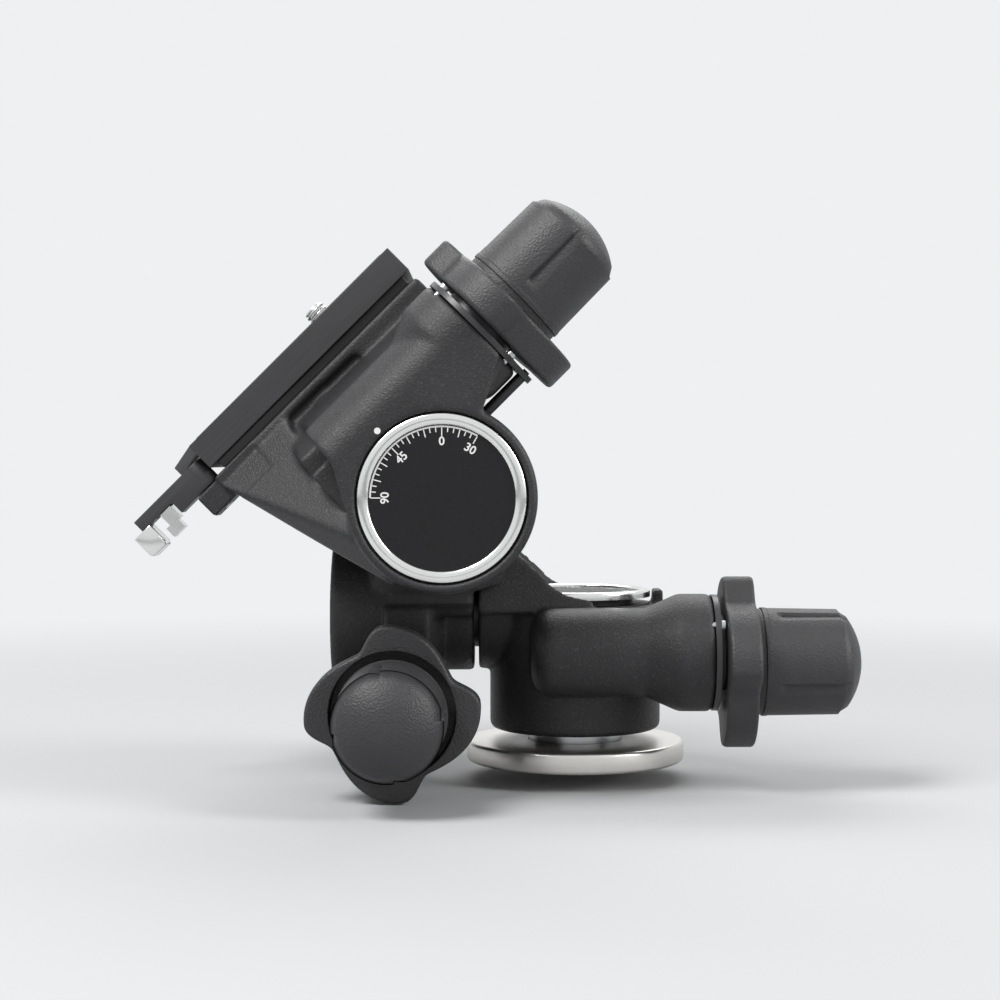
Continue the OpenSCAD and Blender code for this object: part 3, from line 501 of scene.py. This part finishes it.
def collar_radius(a):
    """Radius at angle a: over 66 degrees the power 0.8 of a half cosine, back over 24 degrees."""
    u = np.degrees(-a) % LOBE_DEG
    fall = (0.5 + 0.5 * np.cos(np.pi * np.minimum(u, SLOPE_DEG) / SLOPE_DEG)) ** 0.8
    rise = 0.5 - 0.5 * np.cos(np.pi * np.maximum(u - SLOPE_DEG, 0.0) / (LOBE_DEG - SLOPE_DEG))
    return VALLEY_R + (TIP_R - VALLEY_R) * np.where(u < SLOPE_DEG, fall, rise)


def release_collar(turn, side):
    """Points of a collar in its drive's frame. The bore is off the centre, towards side."""
    a = np.linspace(0.0, 2 * np.pi, 240, endpoint=False)
    rim = collar_radius(a - turn)
    one = np.ones_like(a)
    corners = np.stack([
        np.stack([COLLAR_X * one, BORE_R * one], -1),
        np.stack([COLLAR_X * one, rim], -1),
        np.stack([(COLLAR_X + COLLAR_W) * one, rim], -1),
        np.stack([(COLLAR_X + COLLAR_W) * one, RECESS_R * one], -1),
        np.stack([FLOOR_X * one, RECESS_R * one], -1),
        np.stack([FLOOR_X * one, BORE_R * one], -1)])
    section = eased(corners, [0.1, 1.3, 1.1, 0.35, 0.4, 0.1], closed=True)
    x, r = section[..., 0], section[..., 1]
    inner = np.clip((RECESS_R - 0.5 - r) / (RECESS_R - 0.5 - BORE_R), 0.0, 1.0)
    y = WORM_Y - OUT * inner + r * np.cos(a)
    z = side * ASIDE * inner + r * np.sin(a)
    return np.stack([x, y, z], -1)


COLLARS = {"pan": (180.0, 1), "side": (7.0, 1), "front": (0.0, -1)}
for drive, (turn, side) in COLLARS.items():
    points = FRAMES[drive](release_collar(np.radians(turn), side))
    mesh = tidy_mesh(grid_mesh(drive + "_collar_rim", points, wrap_u=True), MERGE, CREASE)
    add_piece(drive + "_collar_rim", mesh, drive + "_release", GRIP, [drive + "_collar"])
print("collars:", len(mesh.polygons), "faces each")

# %% [markdown]
# A dial's ring is turned brass, plated bright: a crowned ring with a flat underside. Its crown
# is half an ellipse, which gives the two thin highlights that the photograph shows.

# %% Dial rings
DIAL_R, DIAL_RIM, DIAL_FROM, DIAL_H = 20.8, 2.9, 15.9, 1.3
DIAL_TOP = DIAL_FROM + DIAL_H
FLIP = {"pan": 1.0, "side": 1.0, "front": -1.0}
DIAL_BODY = {"pan": "base", "side": "pan_body", "front": "side_body"}


def about_z(points, flip):
    """Turns a shape of the x axis on to the z axis: (x, y, z) becomes (y, z, x), x flipped."""
    return points[..., [1, 2, 0]] * [1.0, 1.0, flip]


def dial_ring():
    """Points of a crowned ring about the local x axis."""
    a = np.linspace(0.0, np.pi, 21)
    middle = DIAL_R - DIAL_RIM / 2
    crown = np.stack([DIAL_TOP + 0.1 + 0.75 * np.sin(a), middle + DIAL_RIM / 2 * np.cos(a)], -1)
    foot = [(DIAL_FROM, DIAL_R - DIAL_RIM), (DIAL_FROM, DIAL_R)]
    return turned(np.vstack([foot, crown]), 192)


for drive, body in DIAL_BODY.items():
    points = FRAMES[drive](about_z(dial_ring(), FLIP[drive]))
    mesh = tidy_mesh(grid_mesh(drive + "_bright_ring", points, wrap_u=True))
    add_piece(drive + "_bright_ring", mesh, body, BRIGHT, [drive + "_dial_ring"])
print("dial rings:", len(mesh.polygons), "faces each")

# %% [markdown]
# White paint marks the scales and the reading point. A tick is a small rectangle, so all the
# ticks of a dial are one array of corners: four corners of one tick, turned to each angle.
# Numbers are text, made a mesh first, and each stands with its top away from the dial's centre.

# %% Dial scales
PAINT_UP, PAINT_THICK = 0.03, 0.02
ARC_R, ARC_IN, ARC_OUT = 17.3, 0.05, 0.38
TICK_45, TICK_15, TICK_5, TICK_W = 2.4, 2.0, 1.2, 0.26
NUMBER_R, NUMBER_H, NUMBER_BOLD = 13.8, 2.9, 0.05


def white_print():
    made, shader, at = start_material("white_print", roughness=0.55)
    fine = noise(at, 0.3)
    feed(shader, "Base Color", fine.mix((0.62, 0.62, 0.61), (0.76, 0.76, 0.75)))
    feed(shader, "Roughness", 0.5 + fine * 0.15)
    return made


WHITE = white_print()


def radial_bars(angles, inner, outer, width):
    """Corners of bars that run from radius inner to outer along each angle, width mm across."""
    along = np.stack([np.cos(angles), np.sin(angles)], -1)[:, None]
    across = np.stack([-np.sin(angles), np.cos(angles)], -1)[:, None]
    reach = np.stack([inner, outer, outer, inner], -1)[..., None]
    aside = np.array([-1.0, -1.0, 1.0, 1.0])[None, :, None] * width / 2
    return along * reach + across * aside


def scale_marks(first, last, arc):
    """Arc and ticks from first to last degrees as quads: a tick every 5, longer ones every 15."""
    marks = np.arange(first, last + 1, 5)
    inner = ARC_R - np.select([marks % 45 == 0, marks % 15 == 0], [TICK_45, TICK_15], TICK_5)
    quads = [radial_bars(np.radians(marks), inner, np.full(len(marks), ARC_R), TICK_W)]
    if arc:
        sweep = np.radians(np.linspace(first, last, last - first + 1))
        low = (ARC_R - ARC_IN) * np.stack([np.cos(sweep), np.sin(sweep)], -1)
        high = low * (ARC_R + ARC_OUT) / (ARC_R - ARC_IN)
        quads.append(np.stack([low[:-1], low[1:], high[1:], high[:-1]], 1))
    flat = np.concatenate(quads).reshape(-1, 2)
    return flat, np.arange(len(flat)).reshape(-1, 4)


def number_marks(text, degrees):
    """A number as flat faces, centred at its angle of the scale with its top outwards."""
    curve = bpy.data.curves.new("number", "FONT")
    curve.body, curve.size, curve.offset = text, NUMBER_H, NUMBER_BOLD
    curve.align_x, curve.align_y = "CENTER", "CENTER"
    holder = bpy.data.objects.new("number", curve)
    bpy.context.scene.collection.objects.link(holder)
    graph = bpy.context.evaluated_depsgraph_get()
    flat = bpy.data.meshes.new_from_object(holder.evaluated_get(graph))
    points = np.empty(len(flat.vertices) * 3)
    flat.vertices.foreach_get("co", points)
    bpy.data.objects.remove(holder)
    turn = np.radians(degrees - 90.0)
    c, s = np.cos(turn), np.sin(turn)
    points = points.reshape(-1, 3)[:, :2] @ np.array([[c, s], [-s, c]])
    centre = NUMBER_R * np.array([np.cos(np.radians(degrees)), np.sin(np.radians(degrees))])
    return points + centre, [tuple(p.vertices) for p in flat.polygons]


def on_dial(drive):
    """Place on a dial's face: (a, b) in mm with a to the right and b up, as its reader sees it."""
    def place(flat):
        a, b = np.asarray(flat, float).T
        n = np.full_like(a, DIAL_TOP + PAINT_UP)
        if drive == "front":
            return FRONT_AT + np.stack([a, -n, b], -1)
        if drive == "side":
            return SIDE_AT + np.stack([-n, -a, b], -1)
        return PAN_AT + np.stack([a, b, n], -1)
    return place


def painted(name, place, marks, body):
    """One mesh of all the marks, given a paint film's thickness and joined at shared points."""
    work = bmesh.new()
    for flat, faces in marks:
        mesh = bpy.data.meshes.new("mark")
        mesh.from_pydata((place(flat) * MM).tolist(), [], [tuple(f) for f in faces])
        work.from_mesh(mesh)
        bpy.data.meshes.remove(mesh)
    bmesh.ops.remove_doubles(work, verts=work.verts, dist=1e-7)
    bmesh.ops.recalc_face_normals(work, faces=work.faces)
    bmesh.ops.solidify(work, geom=work.faces[:], thickness=PAINT_THICK * MM)
    mesh = bpy.data.meshes.new(name)
    work.to_mesh(mesh)
    work.free()
    add_piece(name, mesh, body, WHITE)


TILT_NUMBERS = [("90", 180), ("45", 135), ("0", 90), ("30", 60)]
TURN_NUMBERS = [("0", 270), ("45", 315), ("90", 0), ("135", 45), ("180", 90), ("135", 135), ("90", 180),
                ("45", 225)]
SCALES = {"front": (60, 180, True, TILT_NUMBERS), "side": (60, 180, True, TILT_NUMBERS),
          "pan": (0, 355, False, TURN_NUMBERS)}
for drive, (first, last, arc, numbers) in SCALES.items():
    marks = [scale_marks(first, last, arc)] + [number_marks(text, at) for text, at in numbers]
    painted(drive + "_scale", on_dial(drive), marks, DIAL_BODY[drive])
print("scales:", list(SCALES))

# %% [markdown]
# The camera screw has a real thread. A 1/4 inch screw climbs 1.27 mm a turn, so the radius at
# height x and angle a depends only on x / 1.27 - a / 2 pi: halfway between two turns it is least.

# %% Camera screw
SCREW_T, SCREW_Y, SCREW_R, PITCH = 9.5, -5.0, 3.15, 1.27
HEAD_FROM, HEAD_TO, THREAD_FROM, SCREW_TIP = 45.5, 48.7, 57.1, 62.4
HEAD_R, NECK_R, HEAD_EDGE, THREAD_DEEP = 9.0, SCREW_R - 0.6, 0.3, 0.62


def screw_surface():
    """Points of the camera screw: a round head, a thin neck and the thread up to its tip."""
    rows = np.arange(THREAD_FROM + 0.05, SCREW_TIP - 0.45, PITCH / 16)
    thread = np.stack([rows, np.full(len(rows), SCREW_R)], -1)
    head = [(HEAD_FROM, 0.0), (HEAD_FROM, HEAD_R - HEAD_EDGE), (HEAD_FROM + HEAD_EDGE, HEAD_R),
            (HEAD_TO - HEAD_EDGE, HEAD_R), (HEAD_TO, HEAD_R - HEAD_EDGE), (HEAD_TO, NECK_R),
            (THREAD_FROM, NECK_R)]
    tip = [(SCREW_TIP - 0.4, SCREW_R - 0.15), (SCREW_TIP, SCREW_R - 0.7), (SCREW_TIP, 0.0)]
    profile = np.vstack([head, thread, tip])

    def shape(x, r, a):
        turns = (x / PITCH - a / (2 * np.pi)) % 1.0
        flank = np.abs(2.0 * turns - 1.0)
        groove = THREAD_DEEP * np.clip(flank * 1.25 - 0.2, 0.0, 1.0)
        live = smooth_step(x, THREAD_FROM, THREAD_FROM + 0.3) * (x <= SCREW_TIP - 0.39)
        return np.where((r > 2.9) & (r < 4.0), np.minimum(r, SCREW_R - groove * live), r)

    local = turned(profile, 64, shape)
    return to_platform(np.stack([SCREW_T + local[..., 1], SCREW_Y + local[..., 2], local[..., 0]], -1))


mesh = tidy_mesh(grid_mesh("camera_screw_thread", screw_surface()), MERGE, CREASE)
add_piece("camera_screw_thread", mesh, "screw", PLATED, ["camera_screw"])
print("camera screw:", len(mesh.polygons), "faces")

# %% [markdown]
# A casting has no sharp edge: molten metal rounds every corner and fills every groove a little.
# Each housing is rebuilt from its CAD solid as a fine even mesh, and each point then moves half
# way to the mean of its neighbours, a few times over. That spreads an edge over about 1 mm.
# A block closes the slit between the front drum and its left wall, and the platform's left end
# is laid back on the solid, a little inside it, so that the lever and the wedge keep their room.

# %% Cast housings
FIT_ROOM = 0.15


def merged_copy(node, name, turn=0.0):
    """Copy of a CAD node's mesh with its doubled points merged, turned about the y axis."""
    work = bmesh.new()
    work.from_mesh(nodes[node].data)
    work.transform(nodes[node].matrix_world)
    bmesh.ops.remove_doubles(work, verts=work.verts, dist=1e-6)
    work.transform(Matrix.Rotation(turn, 4, "Y"))
    bmesh.ops.recalc_face_normals(work, faces=work.faces)
    mesh = bpy.data.meshes.new(name)
    work.to_mesh(mesh)
    work.free()
    return mesh


def applied(mesh, kind, **settings):
    """The mesh that one modifier makes of a mesh."""
    holder = bpy.data.objects.new("work", mesh)
    bpy.context.scene.collection.objects.link(holder)
    modifier = holder.modifiers.new(kind.title(), kind)
    for key, value in settings.items():
        setattr(modifier, key, value)
    graph = bpy.context.evaluated_depsgraph_get()
    made = bpy.data.meshes.new_from_object(holder.evaluated_get(graph))
    bpy.data.objects.remove(holder)
    return made


def relax(mesh, times):
    """Moves each point half way to the mean of its neighbours, times over."""
    count = len(mesh.vertices)
    at = np.empty(count * 3)
    mesh.vertices.foreach_get("co", at)
    at = at.reshape(-1, 3)
    ends = np.empty(len(mesh.edges) * 2, int)
    mesh.edges.foreach_get("vertices", ends)
    a, b = ends.reshape(-1, 2).T
    degree = np.bincount(ends, minlength=count)[:, None]
    for _ in range(times):
        total = np.stack([np.bincount(a, at[b, k], count) + np.bincount(b, at[a, k], count)
                          for k in range(3)], -1)
        at = 0.5 * at + 0.5 * total / degree
    mesh.vertices.foreach_set("co", at.ravel())
    mesh.update()


def with_block(mesh, low, high):
    """Adds a closed block to a mesh. The even mesh that follows fuses it with the casting."""
    low, high = np.array(low) * MM, np.array(high) * MM
    work = bmesh.new()
    work.from_mesh(mesh)
    bmesh.ops.create_cube(work, size=1.0, matrix=Matrix.LocRotScale(
        Vector((low + high) / 2), None, Vector(high - low)))
    work.to_mesh(mesh)
    work.free()


def hold_fit(mesh, solid, low, high):
    """Lays the points inside a box back on the solid's own surface, where a moving piece fits."""
    at = np.empty(len(mesh.vertices) * 3)
    mesh.vertices.foreach_get("co", at)
    at = at.reshape(-1, 3) / MM
    inside = np.flatnonzero(np.all((at > low) & (at < high), axis=1))
    holder, model = bpy.data.objects.new("work", mesh), bpy.data.objects.new("model", solid)
    for piece in (holder, model):
        bpy.context.scene.collection.objects.link(piece)
    holder.vertex_groups.new(name="fit").add(inside.tolist(), 1.0, "REPLACE")
    modifier = holder.modifiers.new("Fit", "SHRINKWRAP")
    modifier.target, modifier.vertex_group = model, "fit"
    modifier.wrap_mode, modifier.offset = "ABOVE_SURFACE", -FIT_ROOM * MM
    graph = bpy.context.evaluated_depsgraph_get()
    made = bpy.data.meshes.new_from_object(holder.evaluated_get(graph))
    bpy.data.objects.remove(holder)
    bpy.data.objects.remove(model)
    return made


# Each casting's body, turn about y, voxel in mm and rounds of relaxing
CASTINGS = {"pan_housing": ("pan_body", 0.0, 0.5, 10), "side_housing": ("side_body", 0.0, 0.6, 6),
            "front_housing": ("front_body", TILT, 0.6, 6)}
# Platform coordinates (t, y, n) lie this far from the turned casting's own x, y and z
PLATFORM = np.array([FRONT_AT[0] * np.cos(TILT) + FRONT_AT[2] * np.sin(TILT), 0.0,
                     FRONT_AT[2] * np.cos(TILT) - FRONT_AT[0] * np.sin(TILT)])
SLIT = (PLATFORM + [-19.5, -57.0, 15.0], PLATFORM + [-9.5, -50.0, 27.0])
LEVER_END = (PLATFORM + [-80.0, -80.0, 37.0], PLATFORM + [-26.0, 80.0, 80.0])
for node, (body, turn, voxel, times) in CASTINGS.items():
    solid = merged_copy(node, "solid", turn)
    mesh = solid.copy()
    if node == "front_housing":
        with_block(mesh, *SLIT)
    mesh = applied(mesh, "REMESH", mode="VOXEL", voxel_size=voxel * MM, adaptivity=0.0)
    relax(mesh, times)
    if node == "front_housing":
        mesh = hold_fit(mesh, solid, *LEVER_END)
    mesh.transform(Matrix.Rotation(-turn, 4, "Y"))
    mesh.name = node + "_cast"
    mesh.shade_smooth()
    add_piece(node + "_cast", mesh, body, COAT, [node])
    print(node, "as cast:", len(mesh.polygons), "faces")

# %% [markdown]
# Machined pieces have their edges broken by a small chamfer. A Bevel modifier rounds each edge
# that is sharper than 35 degrees, on a copy whose doubled points are merged first.

# %% Broken edges
SHARP = np.radians(35.0)


def broken_edges(node, body, material, width_mm):
    """Adds a copy of a CAD node with its sharp edges rounded, to stand for that node."""
    mesh = applied(merged_copy(node, "solid"), "BEVEL", width=width_mm * MM, segments=2,
                   limit_method="ANGLE", angle_limit=SHARP, harden_normals=False)
    mesh.name = node + "_machined"
    mesh.shade_smooth()
    mesh.set_sharp_from_angle(angle=SHARP)
    add_piece(mesh.name, mesh, body, material, [node])


broken_edges("camera_plate", "front_body", MACHINED, 0.3)
broken_edges("clamp_lever", "lever", MACHINED, 0.25)
broken_edges("lever_tab", "lever", PLATED, 0.3)
broken_edges("base_disc", "base", SATIN, 0.3)
print("machined edges broken")

# %% [markdown]
# A white dot on the flat face of the front drive marks where its scale is read.

# %% Reading dot
FRONT_FACE, DOT_UP, DOT_R = 18.1, 0.06, 0.8
DOT_AT = np.array([0.5, 22.6])


def dot_marks(centre, radius, count=24):
    """A disc as a fan of one face: centre plus radius times (cos, sin)."""
    a = np.linspace(0.0, 2 * np.pi, count, endpoint=False)
    return centre + radius * np.stack([np.cos(a), np.sin(a)], -1), [tuple(range(count))]


def on_front_face(flat):
    """(t, n) in mm on the flat face of the front drive, just outside its surface."""
    t, n = np.asarray(flat, float).T
    return to_platform(np.stack([t, np.full_like(t, FRONT_AT[1] - FRONT_FACE - DOT_UP), n], -1))


painted("front_dot", on_front_face, [dot_marks(DOT_AT, DOT_R)], "front_body")
print("reading dot painted")

# %% [markdown]
# The stage: a pale floor just under the lowest collar, a soft world and three large lamps. The
# camera stands where the photograph was taken from, 530 mm in front of the pan axis.

# %% Floor, lamps and camera
PALE = (0.86, 0.87, 0.88, 1.0)
FLOOR_COLOUR = (0.47, 0.475, 0.48, 1.0)
FLOOR_HALF, FLOOR_GAP = 6.0, 0.0004
FADE_FROM, FADE_TO = 0.16, 0.60
SOFT_SKY = 0.46


def stage_floor(z):
    """Pale floor: seen by the camera it fades into the background colour further out."""
    mesh = bpy.data.meshes.new("floor")
    corners = [(-FLOOR_HALF, -FLOOR_HALF, z), (FLOOR_HALF, -FLOOR_HALF, z),
               (FLOOR_HALF, FLOOR_HALF, z), (-FLOOR_HALF, FLOOR_HALF, z)]
    mesh.from_pydata(corners, [], [(0, 1, 2, 3)])
    floor = bpy.data.objects.new("floor", mesh)
    bpy.context.scene.collection.objects.link(floor)
    made, shader, at = start_material("pale_floor", roughness=0.9, Specular_IOR_Level=0.1)
    shader.inputs["Base Color"].default_value = FLOOR_COLOUR
    tree = at.tree
    seen = Wire(tree, tree.nodes.new("ShaderNodeLightPath").outputs["Is Camera Ray"])
    distance = at.node("ShaderNodeVectorMath", {"operation": "LENGTH"}, out=1, i0=at)
    glow = tree.nodes.new("ShaderNodeEmission")
    glow.inputs["Color"].default_value = PALE
    blend = tree.nodes.new("ShaderNodeMixShader")
    tree.links.new((distance.step(FADE_FROM, FADE_TO) * seen).socket, blend.inputs[0])
    tree.links.new(shader.outputs[0], blend.inputs[1])
    tree.links.new(glow.outputs[0], blend.inputs[2])
    tree.links.new(blend.outputs[0], tree.nodes["Material Output"].inputs["Surface"])
    mesh.materials.append(made)


stage_floor(cad_low[2] - FLOOR_GAP)

world = bpy.data.worlds.new("studio")
bpy.context.scene.world = world
world.use_nodes = True
sky = world.node_tree.nodes["Background"]
rays = world.node_tree.nodes.new("ShaderNodeLightPath")
straight = [Wire(world.node_tree, rays.outputs["Is " + kind + " Ray"])
            for kind in ("Camera", "Glossy", "Transmission")]
direct = (straight[0] + straight[1] + straight[2]).step(0.0, 1.0)
world.node_tree.links.new((SOFT_SKY + (1.0 - SOFT_SKY) * direct).socket, sky.inputs["Strength"])
sky.inputs["Color"].default_value = PALE


def lamp(name, place, aim, size, power):
    """A rectangular lamp of a size in metres and a power in watts, turned towards aim."""
    light = bpy.data.lights.new(name, "AREA")
    light.shape = "RECTANGLE"
    light.size, light.size_y = size
    light.energy = power
    made = bpy.data.objects.new(name, light)
    made.location = place
    made.rotation_euler = (Vector(aim) - Vector(place)).to_track_quat("-Z", "Y").to_euler()
    bpy.context.scene.collection.objects.link(made)


lamp("key", (-0.45, -0.40, 0.75), (-0.02, -0.02, 0.06), (0.35, 0.35), 8.5)
lamp("right", (0.70, -0.35, 0.45), (0.0, -0.02, 0.05), (0.25, 0.5), 5.0)
lamp("back", (0.0, 0.6, 0.7), (0.0, 0.0, 0.07), (0.9, 0.3), 4.0)

# The lens has a focal length of 1908 pixels on a picture 1000 pixels wide
FOCAL_PX, PICTURE_PX, SENSOR_MM = 1908.0, 1000.0, 36.0
EYE_AT, EYE_SHIFT = (-0.0208, -0.530, 0.083), -0.041
eye = bpy.data.cameras.new("eye")
eye.sensor_width = SENSOR_MM
eye.lens = FOCAL_PX / PICTURE_PX * SENSOR_MM
eye.shift_y = EYE_SHIFT
camera = bpy.data.objects.new("eye", eye)
camera.location = EYE_AT
camera.rotation_euler = (np.radians(90.0), 0.0, 0.0)
bpy.context.scene.collection.objects.link(camera)
bpy.context.scene.camera = camera
bpy.context.scene.view_settings.view_transform = "Standard"
